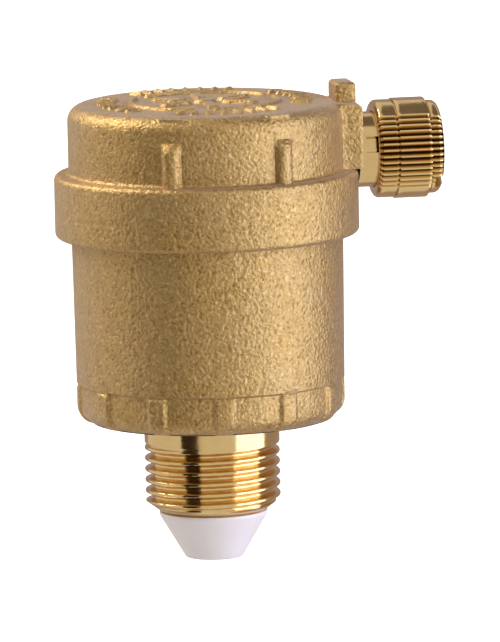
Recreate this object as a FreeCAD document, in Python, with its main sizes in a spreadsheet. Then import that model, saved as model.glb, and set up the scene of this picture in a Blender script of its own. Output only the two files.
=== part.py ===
import FreeCAD, Part
import math
import os
import re
import Sketcher

# Automatic air vent: a brass vessel with a G 3/8 connection below, a brass cover whose
# collar screws down over the vessel's rim, a float and a lever inside, and a side
# outlet with a screw cap.
#
# Frame: the vessel axis is Z, +Z up.  Z = 0 is the underside of the vessel, where the
# connection neck starts.  The outlet points along +X.  Millimetres and degrees.

# Driving sizes: name, value, meaning.
SIZES = [
    ("thread_radius", 8.331, "G 3/8 major radius"),
    ("thread_pitch", 1.337, "G 3/8 pitch, 19 per inch"),
    ("thread_depth", 0.856, "G 3/8 depth of thread"),
    ("groove_over", 0.1, "thread groove's outline beyond the crests"),
    ("root_width", 0.16, "flat at the bottom of the thread groove"),
    ("neck_length", 2.5, "plain neck between vessel and thread"),
    ("relief_width", 0.7, "turned relief between neck and thread"),
    ("relief_depth", 0.35, "depth of that relief"),
    ("shank_length", 11.4, "neck and thread together"),
    ("thread_lead_in", 0.9, "chamfer at the thread's end"),
    ("neck_wall", 2.731, "from the passage through the neck to the thread's crests"),
    ("vessel_radius_low", 16.5, "vessel wall just above the pads"),
    ("vessel_draft", 0.2, "vessel wall wider under the collar"),
    ("vessel_wall", 2.0, "casting wall"),
    ("band_depth", 0.4, "set-back of the band between the pads"),
    ("band_height", 5.0, "height of the pad band"),
    ("pad_width", 2.3, "width of one pad"),
    ("pad_count", 12, "pads round the vessel's foot"),
    ("pad_start_angle", 26.0, "direction of the first pad"),
    ("foot_fillet", 2.2, "rounding of the vessel's lower edge"),
    ("collar_proud", 2.2, "collar beyond the vessel wall"),
    ("collar_low", 22.9, "collar underside"),
    ("collar_height", 7.85, "collar from underside to top"),
    ("collar_fillet", 0.7, "rounding of the collar's edges"),
    ("closure_inset", 0.2, "closing thread inside the vessel wall"),
    ("closure_gap", 0.05, "play of that thread"),
    ("closure_depth", 5.0, "depth of the thread in the collar"),
    ("cove", 0.5, "rounding between collar and cover wall"),
    ("seal_section", 0.7, "section radius of the cover seal"),
    ("cover_proud", 0.4, "cover wall beyond the vessel wall"),
    ("cover_height", 8.45, "cover above the collar"),
    ("cover_wall", 2.0, "thickness of the cover's top"),
    ("cover_fillet", 1.9, "rounding of the cover's top edge"),
    ("rib_spread", 24.25, "rib's angle from the side direction"),
    ("rib_width", 2.5, "width of one grip rib"),
    ("rib_proud", 1.0, "height of a rib above the cover's wall"),
    ("rib_height", 5.6, "length of a rib up the wall"),
    ("boss_proud", 0.1, "outlet boss beyond the collar"),
    ("boss_half_width", 4.9, "half width of the outlet boss"),
    ("boss_drop", 0.5, "boss top below the cover's top"),
    ("lug_set_in", 1.05, "lug's inner face inside the cover wall"),
    ("lug_thickness", 2.65, "lug along the outlet's direction"),
    ("lug_width", 5.0, "lug across the outlet's direction"),
    ("lug_height", 2.0, "lug above the cover's top"),
    ("vent_drop", 6.65, "outlet's axis below the cover's top"),
    ("spigot_radius", 4.65, "cap thread on the spigot"),
    ("spigot_length", 7.4, "spigot from the boss to its end"),
    ("spigot_chamfer", 0.4, "chamfer at the spigot's end"),
    ("outlet_bore", 2.2, "radius of the passage through the spigot"),
    ("shoulder_depth", 2.8, "shoulder in the outlet passage, from the boss"),
    ("groove_width", 2.0, "width of the air groove along the cap thread"),
    ("groove_depth", 0.8, "depth of the air groove"),
    ("groove_start", 0.5, "air groove's start, from the boss"),
    ("groove_angle", 13.5, "air groove's angle above the side direction"),
    ("seat_reach", 1.7, "seat insert into the vessel's space"),
    ("seat_radius", 1.5, "stem of the seat insert"),
    ("seat_head", 1.4, "thickness of the seat insert's head"),
    ("seat_lip", 0.3, "width of the sealing lip"),
    ("seat_slot", 0.6, "driver slot in the seat insert"),
    ("orifice_radius", 0.7, "valve orifice"),
    ("cap_clear", 2.0, "boss to the cap's open end"),
    ("cap_length", 8.1, "cap's length"),
    ("cap_radius", 6.2, "cap's middle band"),
    ("cap_inner_band", 6.05, "cap's band at the open end"),
    ("cap_outer_band", 5.75, "cap's band at the closed end"),
    ("cap_band_start", 2.45, "middle band from the open end"),
    ("cap_band_length", 4.0, "middle band's length"),
    ("ring_width", 0.25, "width of the ring lines"),
    ("ring_depth", 0.2, "depth of the ring lines"),
    ("cap_chamfer", 0.7, "chamfer at both ends of the cap"),
    ("cap_gap", 0.08, "play between cap and spigot"),
    ("cap_slot_width", 1.5, "coin slot's width"),
    ("cap_slot_depth", 1.0, "coin slot's depth"),
    ("cap_slot_angle", 46.0, "coin slot's direction"),
    ("knurl_pitch_angle", 7.5, "angle from one knurl tooth to the next"),
    ("knurl_teeth", 13, "grooves in one knurled side"),
    ("knurl_depth", 0.35, "depth of a knurl groove"),
    ("gasket_thickness", 0.7, "cap gasket"),
    ("float_gap", 1.5, "float to vessel wall"),
    ("float_low", 3.6, "underside of the resting float"),
    ("float_clear", 3.05, "float lid to the resting lever"),
    ("float_wall", 0.8, "float wall"),
    ("float_travel", 3.0, "float travel from open to shut"),
    ("lid_thickness", 1.0, "float lid"),
    ("lug_radius", 1.6, "post on the float lid"),
    ("link_wire", 0.45, "radius of the float link's wire"),
    ("link_cross", 1.7, "half length of the link's cross bar"),
    ("link_gap", 0.4, "play between link and lever"),
    ("cone_overlap", 0.175, "inlet cone beyond the thread's end face"),
    ("cone_end_radius", 3.5, "inlet cone at its mouth"),
    ("cone_length", 5.8, "inlet cone below the thread"),
    ("cone_wall", 0.5, "inlet cone's wall at its mouth"),
    ("sleeve_wall", 0.95, "inlet cone's sleeve in the neck"),
    ("sleeve_gap", 0.05, "play of the sleeve in the neck"),
    ("sleeve_proud", 1.1, "sleeve above the vessel's floor"),
    ("snap_lip", 0.4, "sleeve's snap lip over the floor"),
    ("notch_width", 2.4, "air notches in the sleeve's top"),
    ("notch_floor", 0.1, "bottom of the notches above the vessel's floor"),
    ("pivot_inset", 2.4, "seat lip to the lever's pivot"),
    ("pivot_below_vent", 3.8, "lever pivot below the outlet's axis"),
    ("pin_radius", 0.75, "pivot pin"),
    ("pin_gap", 0.05, "running play of the lever on its pin"),
    ("pin_end", 0.4, "pin end beyond the clips"),
    ("clip_thickness", 0.4, "pin clip"),
    ("clip_radius", 1.6, "outside of a pin clip"),
    ("bracket_sheet", 0.6, "bracket sheet"),
    ("bracket_half_gap", 3.3, "half the space between the ears"),
    ("ear_half_length", 1.8, "ear along the outlet's direction"),
    ("ear_below_pivot", 1.6, "ear below the pivot"),
    ("plate_start", -1.0, "inner end of the bracket plate"),
    ("plate_inset", 2.5, "bracket plate's outer end to the pivot"),
    ("gusset", 3.0, "ear's reach along the bracket plate"),
    ("mount_boss_height", 2.0, "cover's screw bosses"),
    ("mount_boss_radius", 2.1, "cover's screw bosses"),
    ("screw_first_x", 1.5, "first bracket screw from the vessel axis"),
    ("screw_spacing", 4.6, "between the bracket screws"),
    ("screw_radius", 1.0, "bracket screw M2"),
    ("screw_length", 3.4, "bracket screw below its head"),
    ("tap_spare", 0.2, "hole beyond the screw's end"),
    ("washer_radius", 1.9, "lock washer"),
    ("washer_thickness", 0.4, "lock washer"),
    ("washer_split", 0.3, "opening of the lock washer"),
    ("screw_head_radius", 1.8, "bracket screw head"),
    ("screw_head_height", 1.1, "bracket screw head"),
    ("lever_sheet", 0.8, "lever thickness"),
    ("lever_half_width", 1.3, "half width of the lever"),
    ("hub_radius", 1.4, "lever hub"),
    ("fork_length", 2.4, "fork at the lever's end"),
    ("pad_radius", 1.7, "valve pad"),
    ("pad_thickness", 1.1, "valve pad"),
    ("pad_gap", 0.05, "pad to seat with the valve shut"),
    ("riser_above_rivet", 0.9, "lever above the pad's rivet"),
    ("holder_rim", 0.35, "pad holder's rim and base"),
    ("rivet_radius", 0.6, "pad holder's rivet"),
    ("spring_wire", 0.18, "radius of the spring wire"),
    ("spring_radius", 1.25, "mean radius of the spring's turns"),
    ("spring_turns", 2.75, "turns of the lever spring"),
    ("spring_side_gap", 0.2, "lever's side to the spring"),
    ("spring_pitch", 0.4, "from one turn to the next"),
    ("spring_leg", 3.5, "leg of the lever spring"),
]

# Fraction of a fillet's radius between its arc's middle and the corner's sides.
ARC_MIDDLE = round(1 - math.sqrt(0.5), 4)
# How far a cutting tool runs past what it cuts.
OVERRUN = 1
# Two lengths in mm this close are the same.
SAME = 1e-3
# Least volume, in mm3, that a cut has to remove.
LEAST_CUT = 1e-4

# Sizes that follow from the driving ones.
DERIVED = {
    "thread_length": "shank_length - neck_length - relief_width",
    "thread_root": "thread_radius - thread_depth",
    "groove_mouth": "thread_pitch / 2 + groove_over * 2 / 3",
    "inlet_bore": "thread_radius - neck_wall",
    "cone_top_radius": "thread_root - thread_lead_in + cone_overlap",
    "vessel_radius_high": "vessel_radius_low + vessel_draft",
    "closure_radius": "vessel_radius_low - closure_inset",
    "collar_radius": "vessel_radius_low + collar_proud",
    "cover_radius": "vessel_radius_low + cover_proud",
    "collar_high": "collar_low + collar_height",
    "cover_top": "collar_high + cover_height",
    "lug_top": "cover_top + lug_height",
    "lug_inner": "cover_radius - lug_set_in",
    "vent_height": "cover_top - vent_drop",
    "boss_face": "collar_radius + boss_proud",
    "outlet_shoulder": "boss_face - shoulder_depth",
    "cap_start": "boss_face + cap_clear",
    "cavity_radius": "vessel_radius_low - vessel_wall",
    "ledge": "collar_low + closure_depth",
    "seal_ring_radius": "(closure_radius + cavity_radius) / 2",
    "rim": "ledge - 2 * seal_section",
    "ceiling": "cover_top - cover_wall",
    "boss_top": "cover_top - boss_drop",
    "spigot_end": "boss_face + spigot_length",
    "seat_ring_section": "(outlet_bore - seat_radius) / 2",
    "seat_head_start": "outlet_shoulder + 2 * seat_ring_section",
    "cap_outer_end": "cap_start + cap_length",
    "cap_floor": "spigot_end + gasket_thickness",
    "cap_bore": "spigot_radius + cap_gap",
    "cap_step": "cap_start + cap_band_start",
    "cap_step_end": "cap_start + cap_band_start + cap_band_length",
    "float_radius": "cavity_radius - float_gap",
    "seat_inner_end": "cavity_radius - seat_reach",
    "pivot_x": "seat_inner_end - pivot_inset",
    "plate_end": "pivot_x - plate_inset",
    "pivot_z": "vent_height - pivot_below_vent",
    "lever_rest_z": "pivot_z - float_travel",
    "lid_top": "lever_rest_z - float_clear",
    "float_top": "lid_top - lid_thickness",
    "link_reach": "lever_sheet / 2 + link_gap",
    "cross_bar_z": "lever_rest_z + link_reach + 2 * link_wire",
    "post_top": "lever_rest_z - link_reach - link_wire / 2",
    "closing_angle": "atan(float_travel / pivot_x)",
    "bracket_half_width": "bracket_half_gap + bracket_sheet",
    "plate_top": "ceiling - mount_boss_height",
    "plate_low": "plate_top - bracket_sheet",
    "head_top": "plate_low - washer_thickness",
    "sleeve_radius": "inlet_bore - sleeve_gap",
    "sleeve_bore": "inlet_bore - sleeve_gap - sleeve_wall",
    "sleeve_top": "vessel_wall + sleeve_proud",
    "pad_face": "pivot_inset - pad_gap",
    "holder_base": "pad_face - pad_thickness - holder_rim",
}

DOC = FreeCAD.newDocument("air_vent")
SHEET = DOC.addObject("Spreadsheet::Sheet", "Sizes")
NAMES = {name for name, _, _ in SIZES}
PARTS = []


def fill_sheet():
    """Put the driving sizes into the sheet, one row each."""
    for row, (name, value, meaning) in enumerate(SIZES, 1):
        SHEET.set(f"A{row}", name)
        SHEET.set(f"B{row}", str(value))
        SHEET.set(f"C{row}", meaning)
        SHEET.setAlias(f"B{row}", name)
    DOC.recompute()


def cells(expression):
    """An expression of size names as one of sheet cells."""
    def swap(match):
        word = match.group()
        if word in DERIVED:
            return "(" + cells(DERIVED[word]) + ")"
        if word in NAMES:
            return "Sizes." + word
        return word
    return re.sub(r"[a-z][a-z_]+", swap, str(expression))


def value(expression):
    """The present value of an expression of size names."""
    result = SHEET.evalExpression(cells(expression))
    return float(getattr(result, "Value", result))


def keep(item, name):
    """Name a finished sub-part."""
    item.Label = name
    PARTS.append(item)
    return item


def origin_item(body, role):
    """One of a body's own origin planes or axes."""
    return next(item for item in body.Origin.OriginFeatures if item.Role == role)


def new_sketch(body, name, role, turn=0, spin=None, offset=0, lift=0):
    """A sketch on an origin plane: turned about the plane's upright or spun in the
    plane, moved off the plane by offset and up in it by lift."""
    sketch = body.newObject("Sketcher::SketchObject", name)
    sketch.AttachmentSupport = [(origin_item(body, role), "")]
    sketch.MapMode = "FlatFace"
    axis = FreeCAD.Vector(0, 1, 0) if spin is None else FreeCAD.Vector(0, 0, 1)
    sketch.AttachmentOffset = FreeCAD.Placement(FreeCAD.Vector(), FreeCAD.Rotation(axis, 1))
    angle = turn if spin is None else spin
    sketch.setExpression("AttachmentOffset.Rotation.Angle", cells(angle))
    sketch.setExpression("AttachmentOffset.Base.z", cells(offset))
    sketch.setExpression("AttachmentOffset.Base.y", cells(lift))
    return sketch


def bind(sketch, kind, edge, point, expression):
    """One dimension of a sketch, bound to the sheet."""
    number = sketch.addConstraint(Sketcher.Constraint(kind, edge, point, value(expression)))
    sketch.setExpression(f"Constraints[{number}]", cells(expression))


def outline(body, name, role, points, **place):
    """A closed straight-sided outline whose corners are bound to the sheet."""
    sketch = new_sketch(body, name, role, **place)
    corners = [FreeCAD.Vector(value(across), value(up), 0) for across, up in points]
    count = len(corners)
    for index in range(count):
        following = corners[(index + 1) % count]
        sketch.addGeometry(Part.LineSegment(corners[index], following), False)
    for index in range(count):
        link = Sketcher.Constraint("Coincident", index, 2, (index + 1) % count, 1)
        sketch.addConstraint(link)
    for index, (across, up) in enumerate(points):
        bind(sketch, "DistanceX", index, 1, across)
        bind(sketch, "DistanceY", index, 1, up)
    return sketch


def circle(body, name, role, across, up, radius, offset=0):
    """A circle bound to the sheet."""
    sketch = new_sketch(body, name, role, offset=offset)
    middle = FreeCAD.Vector(value(across), value(up), 0)
    sketch.addGeometry(Part.Circle(middle, FreeCAD.Vector(0, 0, 1), value(radius)), False)
    bind(sketch, "DistanceX", 0, 3, across)
    bind(sketch, "DistanceY", 0, 3, up)
    number = sketch.addConstraint(Sketcher.Constraint("Radius", 0, value(radius)))
    sketch.setExpression(f"Constraints[{number}]", cells(radius))
    return sketch


def new_body(name):
    return keep(DOC.addObject("PartDesign::Body", name), name)


def turned(body, name, points, axis="Z_Axis"):
    """A turned blank."""
    feature = body.newObject("PartDesign::Revolution", name)
    feature.Profile = outline(body, name + "_outline", "XZ_Plane", points)
    feature.ReferenceAxis = (origin_item(body, axis), [""])
    feature.Angle = 360
    return feature


def turned_at(body, name, points, height, kind="PartDesign::Revolution"):
    """A revolution or groove about a line along X at this height."""
    sketch = outline(body, name + "_outline", "XZ_Plane", points, lift=height)
    feature = body.newObject(kind, name)
    feature.Profile = sketch
    feature.ReferenceAxis = (sketch, ["H_Axis"])
    feature.Angle = 360
    return feature


def raised(body, name, sketch, length, both_ways=True):
    """A pad, to both sides of its sketch or along its normal."""
    feature = body.newObject("PartDesign::Pad", name)
    feature.Profile = sketch
    feature.Midplane = both_ways
    feature.setExpression("Length", cells(length))
    return feature


def cut(body, name, sketch, length, both_ways=False, backwards=True):
    """A pocket; a pocket that removes nothing is an error."""
    DOC.recompute()
    before = body.Shape.Volume
    feature = body.newObject("PartDesign::Pocket", name)
    feature.Profile = sketch
    feature.Midplane = both_ways
    feature.Reversed = backwards
    feature.setExpression("Length", cells(length))
    DOC.recompute()
    if not feature.Shape.Volume < before - LEAST_CUT:
        raise RuntimeError(name + " removes nothing")
    return feature


def polar(body, name, feature, axis, count, angle):
    """A feature repeated about one of the body's axes."""
    pattern = body.newObject("PartDesign::PolarPattern", name)
    pattern.Originals = [feature]
    pattern.Axis = (origin_item(body, axis), [""])
    pattern.setExpression("Occurrences", cells(count))
    pattern.setExpression("Angle", cells(angle))
    body.Tip = pattern
    return pattern


def rounded(body, name, test, radius):
    """A fillet on the edges of the body that pass the test."""
    DOC.recompute()
    base = body.Tip
    edges = enumerate(base.Shape.Edges, 1)
    chosen = [f"Edge{number}" for number, edge in edges if test(edge)]
    if not chosen:
        raise RuntimeError(name + " finds no edge")
    feature = body.newObject("PartDesign::Fillet", name)
    feature.Base = (base, chosen)
    feature.setExpression("Radius", cells(radius))
    return feature


def near(first, second):
    return abs(first - second) < SAME


def is_ring(edge, radius, height):
    """Whether an edge is a whole circle about Z with this radius and height."""
    if not isinstance(edge.Curve, Part.Circle) or not edge.isClosed():
        return False
    middle = edge.Curve.Center
    on_axis = near(middle.x, 0) and near(middle.y, 0)
    return on_axis and near(edge.Curve.Radius, value(radius)) and near(middle.z, value(height))


def any_ring(*rings):
    """A test for the edges that are one of these circles."""
    return lambda edge: any(is_ring(edge, radius, height) for radius, height in rings)


def lower_body():
    """Vessel, neck and connection thread in one casting."""
    body = new_body("lower_body")
    turned(body, "casting", [
        ("inlet_bore", "-shank_length"),
        ("thread_root - thread_lead_in", "-shank_length"),
        ("thread_radius", "thread_lead_in + thread_depth - shank_length"),
        ("thread_radius", "thread_length - shank_length"),
        ("thread_radius - relief_depth", "thread_length - shank_length"),
        ("thread_radius - relief_depth", "-neck_length"),
        ("thread_radius", "-neck_length"),
        ("thread_radius", "0"),
        ("vessel_radius_low - band_depth", "0"),
        ("vessel_radius_low - band_depth", "band_height"),
        ("vessel_radius_low", "band_height"),
        ("vessel_radius_high", "collar_low"),
        ("closure_radius", "collar_low"),
        ("closure_radius", "rim"),
        ("cavity_radius", "rim"),
        ("cavity_radius", "vessel_wall"),
        ("inlet_bore", "vessel_wall"),
    ])
    rounded(body, "foot", any_ring(("vessel_radius_low - band_depth", "0")), "foot_fillet")
    pad = raised(body, "pad", outline(body, "pad_outline", "XZ_Plane", [
        ("vessel_radius_low - foot_fillet", "0"),
        (f"vessel_radius_low - foot_fillet * {ARC_MIDDLE}", f"foot_fillet * {ARC_MIDDLE}"),
        ("vessel_radius_low", "foot_fillet"),
        ("vessel_radius_low", "band_height"),
        ("cavity_radius + vessel_wall / 3", "band_height"),
        ("cavity_radius + vessel_wall / 3", "foot_fillet / 2"),
    ], turn="-pad_start_angle"), "pad_width")
    polar(body, "pads", pad, "Z_Axis", "pad_count", "360")
    cut_thread(body)


def cut_thread(body):
    """The connection thread: a right-hand helical groove that leaves sharp crests."""
    DOC.recompute()
    before = body.Shape.Volume
    start = "-shank_length - thread_pitch"
    groove = body.newObject("PartDesign::SubtractiveHelix", "thread")
    groove.Profile = outline(body, "thread_groove", "XZ_Plane", [
        ("thread_radius + groove_over", start + " - groove_mouth"),
        ("thread_root", start + " - root_width / 2"),
        ("thread_root", start + " + root_width / 2"),
        ("thread_radius + groove_over", start + " + groove_mouth"),
    ])
    groove.ReferenceAxis = (origin_item(body, "Z_Axis"), [""])
    groove.Mode = 0
    groove.setExpression("Pitch", cells("thread_pitch"))
    groove.setExpression("Height", cells("thread_length + thread_pitch"))
    groove.Angle = 0
    groove.LeftHanded = False
    DOC.recompute()
    if not groove.Shape.Volume < before - LEAST_CUT:
        raise RuntimeError("the thread removes nothing")


def cover():
    """Cover with its collar, grip ribs, outlet boss, lug and screw bosses."""
    body = new_body("cover")
    turned(body, "bell", [
        ("closure_radius + closure_gap", "collar_low"),
        ("collar_radius", "collar_low"),
        ("collar_radius", "collar_high"),
        ("cover_radius", "collar_high"),
        ("cover_radius", "cover_top"),
        ("0", "cover_top"),
        ("0", "ceiling"),
        ("cavity_radius", "ceiling"),
        ("cavity_radius", "ledge"),
        ("closure_radius + closure_gap", "ledge"),
    ])
    rounded(body, "top_edge", any_ring(("cover_radius", "cover_top")), "cover_fillet")
    rounded(body, "cove", any_ring(("cover_radius", "collar_high")), "cove")
    rounded(body, "collar_edges", any_ring(
        ("collar_radius", "collar_low"),
        ("collar_radius", "collar_high"),
    ), "collar_fillet")
    raised(body, "boss", outline(body, "boss_outline", "XZ_Plane", box_corners(
        "cavity_radius + cover_wall / 4", "boss_face", "collar_high", "boss_top"
    )), "2 * boss_half_width")
    raised(body, "lug", outline(body, "lug_outline", "XZ_Plane", box_corners(
        "lug_inner", "lug_inner + lug_thickness", "ceiling + cover_wall / 2", "lug_top"
    )), "lug_width")
    for side in (1, -1):
        for hand in (1, -1):
            grip_rib(body, side, hand)
    mount_bosses(body)
    outlet(body)


def outlet(body):
    """The spigot with its passage, and the air groove along its thread."""
    turned_at(body, "spigot", [
        ("boss_face", "0"),
        ("boss_face", "spigot_radius"),
        ("spigot_end - spigot_chamfer", "spigot_radius"),
        ("spigot_end", "spigot_radius - spigot_chamfer"),
        ("spigot_end", "0"),
    ], "vent_height")
    DOC.recompute()
    before = body.Shape.Volume
    turned_at(body, "passage", [
        ("cavity_radius / 2", "0"),
        ("cavity_radius / 2", "seat_radius"),
        ("outlet_shoulder", "seat_radius"),
        ("outlet_shoulder", "outlet_bore"),
        (f"spigot_end + {OVERRUN}", "outlet_bore"),
        (f"spigot_end + {OVERRUN}", "0"),
    ], "vent_height", "PartDesign::Groove")
    DOC.recompute()
    if not body.Shape.Volume < before - LEAST_CUT:
        raise RuntimeError("the outlet passage removes nothing")
    groove = outline(body, "groove_outline", "YZ_Plane", box_corners(
        f"-spigot_radius - {OVERRUN}", "groove_depth - spigot_radius",
        "-groove_width / 2", "groove_width / 2"),
        spin="-groove_angle", offset="boss_face + groove_start", lift="vent_height")
    cut(body, "air_groove", groove, "spigot_length", backwards=True)


def box_corners(left, right, low, high):
    """The corners of an upright rectangle."""
    return [(left, low), (right, low), (right, high), (left, high)]


def grip_rib(body, side, hand):
    """One round-topped rib at the foot of the cover's wall."""
    angle = f"{side} * (90 + {hand} * rib_spread)"
    name = f"rib_{'left' if side > 0 else 'right'}_{'far' if hand > 0 else 'near'}"
    raised(body, name, outline(body, name + "_outline", "XZ_Plane", box_corners(
        "cover_radius - cover_wall / 2", "cover_radius + rib_proud",
        "collar_high", "collar_high + rib_height"
    ), turn=angle), "rib_width")


def mount_bosses(body):
    """Two drilled bosses under the cover's top for the bracket screws."""
    for index in range(2):
        across = f"screw_first_x + {index} * screw_spacing"
        base = circle(body, f"boss_circle_{index}", "XY_Plane", across, "0",
                      "mount_boss_radius", "plate_top")
        raised(body, f"screw_boss_{index}", base, "mount_boss_height + cover_wall / 4", False)
    for index in range(2):
        across = f"screw_first_x + {index} * screw_spacing"
        hole = circle(body, f"tap_circle_{index}", "XY_Plane", across, "0",
                      "screw_radius", "plate_top")
        cut(body, f"screw_hole_{index}", hole,
            "screw_length - bracket_sheet - washer_thickness + tap_spare")


def cover_seal():
    """Ring seal between the vessel's rim and the cover's ledge."""
    ring = keep(DOC.addObject("Part::Torus", "cover_seal_ring"), "cover_seal_ring")
    ring.setExpression("Radius1", cells("seal_ring_radius"))
    ring.setExpression("Radius2", cells("seal_section"))
    ring.setExpression("Placement.Base.z", cells("rim + seal_section"))


def inlet_cone():
    """Plastic inlet cone with the sleeve that snaps into the neck."""
    body = new_body("inlet_cone")
    turned(body, "cone", [
        ("cone_end_radius - cone_wall", "-shank_length - cone_length"),
        ("cone_end_radius", "-shank_length - cone_length"),
        ("cone_top_radius", "-shank_length"),
        ("sleeve_radius", "-shank_length"),
        ("sleeve_radius", "vessel_wall"),
        ("inlet_bore + snap_lip", "vessel_wall"),
        ("inlet_bore", "sleeve_top"),
        ("sleeve_bore", "sleeve_top"),
        ("sleeve_bore", "-shank_length"),
    ])
    notch = outline(body, "notch_outline", "XZ_Plane", box_corners(
        "0", "inlet_bore + 2 * snap_lip", "vessel_wall + notch_floor",
        f"sleeve_top + {OVERRUN}"))
    first = cut(body, "notch", notch, "notch_width", both_ways=True)
    polar(body, "notches", first, "Z_Axis", "4", "360")


def valve_seat():
    """Seat insert screwed into the passage: sealing lip, orifice, slotted head."""
    body = new_body("valve_seat")
    body.setExpression("Placement.Base.z", cells("vent_height"))
    turned(body, "seat", [
        ("seat_inner_end", "orifice_radius"),
        ("seat_inner_end", "orifice_radius + seat_lip"),
        ("seat_inner_end + seat_lip", "seat_radius"),
        ("seat_head_start", "seat_radius"),
        ("seat_head_start", "outlet_bore"),
        ("seat_head_start + seat_head", "outlet_bore"),
        ("seat_head_start + seat_head", "orifice_radius"),
    ], axis="X_Axis")
    slot = outline(body, "slot_outline", "YZ_Plane", box_corners(
        "-outlet_bore", "outlet_bore", "-seat_slot / 2", "seat_slot / 2"),
        offset="seat_head_start + seat_head - seat_slot")
    cut(body, "driver_slot", slot, "2 * seat_slot")


def seat_seal():
    """Ring seal under the seat insert's head."""
    ring = keep(DOC.addObject("Part::Torus", "seat_seal_ring"), "seat_seal_ring")
    ring.setExpression("Radius1", cells("seat_radius + seat_ring_section"))
    ring.setExpression("Radius2", cells("seat_ring_section"))
    ring.Placement.Rotation = FreeCAD.Rotation(FreeCAD.Vector(0, 1, 0), 90)
    ring.setExpression("Placement.Base.x", cells("outlet_shoulder + seat_ring_section"))
    ring.setExpression("Placement.Base.z", cells("vent_height"))


def vent_cap():
    """Screw cap: three bands with ring lines, two knurled sides, a coin slot."""
    body = new_body("vent_cap")
    body.setExpression("Placement.Base.z", cells("vent_height"))
    turned(body, "cap", [
        ("cap_start", "cap_bore"),
        ("cap_start", "cap_inner_band - cap_chamfer"),
        ("cap_start + cap_chamfer", "cap_inner_band"),
        ("cap_step - ring_width", "cap_inner_band"),
        ("cap_step - ring_width", "cap_inner_band - ring_depth"),
        ("cap_step", "cap_inner_band - ring_depth"),
        ("cap_step", "cap_radius"),
        ("cap_step_end", "cap_radius"),
        ("cap_step_end", "cap_outer_band - ring_depth"),
        ("cap_step_end + ring_width", "cap_outer_band - ring_depth"),
        ("cap_step_end + ring_width", "cap_outer_band"),
        ("cap_outer_end - cap_chamfer", "cap_outer_band"),
        ("cap_outer_end", "cap_outer_band - cap_chamfer"),
        ("cap_outer_end", "0"),
        ("cap_floor", "0"),
        ("cap_floor", "cap_bore"),
    ], axis="X_Axis")
    for side in (-1, 1):
        knurled_side(body, side)
    slot = outline(body, "slot_outline", "YZ_Plane", box_corners(
        "-cap_radius", "cap_radius", "-cap_slot_width / 2", "cap_slot_width / 2"),
        spin="cap_slot_angle", offset="cap_outer_end - cap_slot_depth")
    cut(body, "coin_slot", slot, "2 * cap_slot_depth")


def knurled_side(body, side):
    """A row of straight V grooves along one side of the cap."""
    name = "knurl_front" if side < 0 else "knurl_back"
    reach = "(cap_radius + knurl_depth)"
    sketch = outline(body, name + "_groove", "YZ_Plane", [
        (f"{side} * (cap_radius - knurl_depth)", "0"),
        (f"{side} * {reach}", "knurl_depth"),
        (f"{side} * {reach}", "-knurl_depth"),
    ], spin="-knurl_pitch_angle * (knurl_teeth - 1) / 2",
        offset=f"cap_start - {OVERRUN}")
    groove = cut(body, name, sketch, f"cap_length + 2 * {OVERRUN}")
    polar(body, name + "_row", groove, "X_Axis", "knurl_teeth",
          "knurl_pitch_angle * (knurl_teeth - 1)")


def cap_gasket():
    """Flat gasket between the spigot's end and the cap."""
    disc = keep(DOC.addObject("Part::Cylinder", "cap_gasket"), "cap_gasket")
    disc.setExpression("Radius", cells("cap_bore - cap_gap"))
    disc.setExpression("Height", cells("gasket_thickness"))
    disc.Placement.Rotation = FreeCAD.Rotation(FreeCAD.Vector(0, 1, 0), 90)
    disc.setExpression("Placement.Base.x", cells("spigot_end"))
    disc.setExpression("Placement.Base.z", cells("vent_height"))


def float_parts():
    """Float: a thin cup, its lid with a post, and the wire link."""
    shell = new_body("float_shell")
    turned(shell, "cup", [
        ("0", "float_low"),
        ("float_radius", "float_low"),
        ("float_radius", "float_top"),
        ("float_radius - float_wall", "float_top"),
        ("float_radius - float_wall", "float_low + float_wall"),
        ("0", "float_low + float_wall"),
    ])
    rounded(shell, "float_foot", any_ring(("float_radius", "float_low")), "float_wall")
    lid = new_body("float_lid")
    turned(lid, "lid", [
        ("0", "float_top - float_wall"),
        ("float_radius - float_wall", "float_top - float_wall"),
        ("float_radius - float_wall", "float_top"),
        ("float_radius", "float_top"),
        ("float_radius", "lid_top"),
        ("lug_radius", "lid_top"),
        ("lug_radius", "post_top"),
        ("link_wire", "post_top"),
        ("link_wire", "lid_top"),
        ("0", "lid_top"),
    ])
    link = new_body("float_link")
    turned(link, "stem", [
        ("0", "lid_top"),
        ("link_wire", "lid_top"),
        ("link_wire", "cross_bar_z"),
        ("0", "cross_bar_z"),
    ])
    bar = circle(link, "cross_circle", "XZ_Plane", "0", "cross_bar_z", "link_wire")
    raised(link, "cross_bar", bar, "2 * link_cross")


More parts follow.
